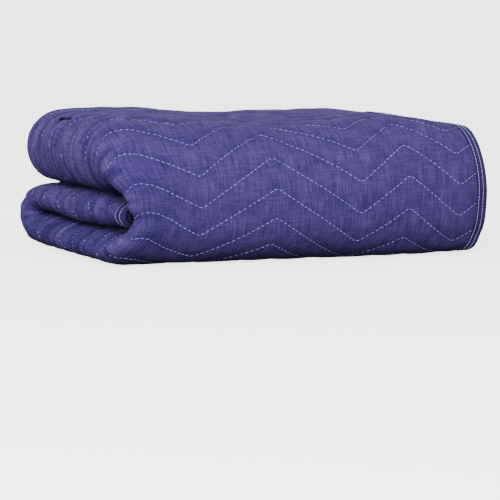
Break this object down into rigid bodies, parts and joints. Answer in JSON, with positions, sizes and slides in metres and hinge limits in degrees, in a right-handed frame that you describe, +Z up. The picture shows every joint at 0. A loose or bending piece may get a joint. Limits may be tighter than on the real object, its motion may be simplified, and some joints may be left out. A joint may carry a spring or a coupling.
{
  "type": "moving blanket",
  "caption": "Quilted moving blanket with bound edges, folded into a rectangular pile: in half, in half, in half and in thirds, with one end tucked inside.",
  "frame": {"origin": "centre of the underside's box, on the floor the pile rests on", "axes": "+Z up; X along the quilting rows, with the bound edges at +X and the closed folds at -X; the last fold faces -Y"},
  "size_m": [0.5308, 0.3384, 0.1762],
  "materials": {
    "quilt": "woven cloth, heathered violet-blue",
    "binding": "plain dark tape"
  },
  "bodies": {
    "root": {"quilt": "quilt", "binding_length_outer": "binding", "binding_length_inner": "binding", "binding_width_outer": "binding", "binding_width_inner": "binding"}
  },
  "joints": []
}
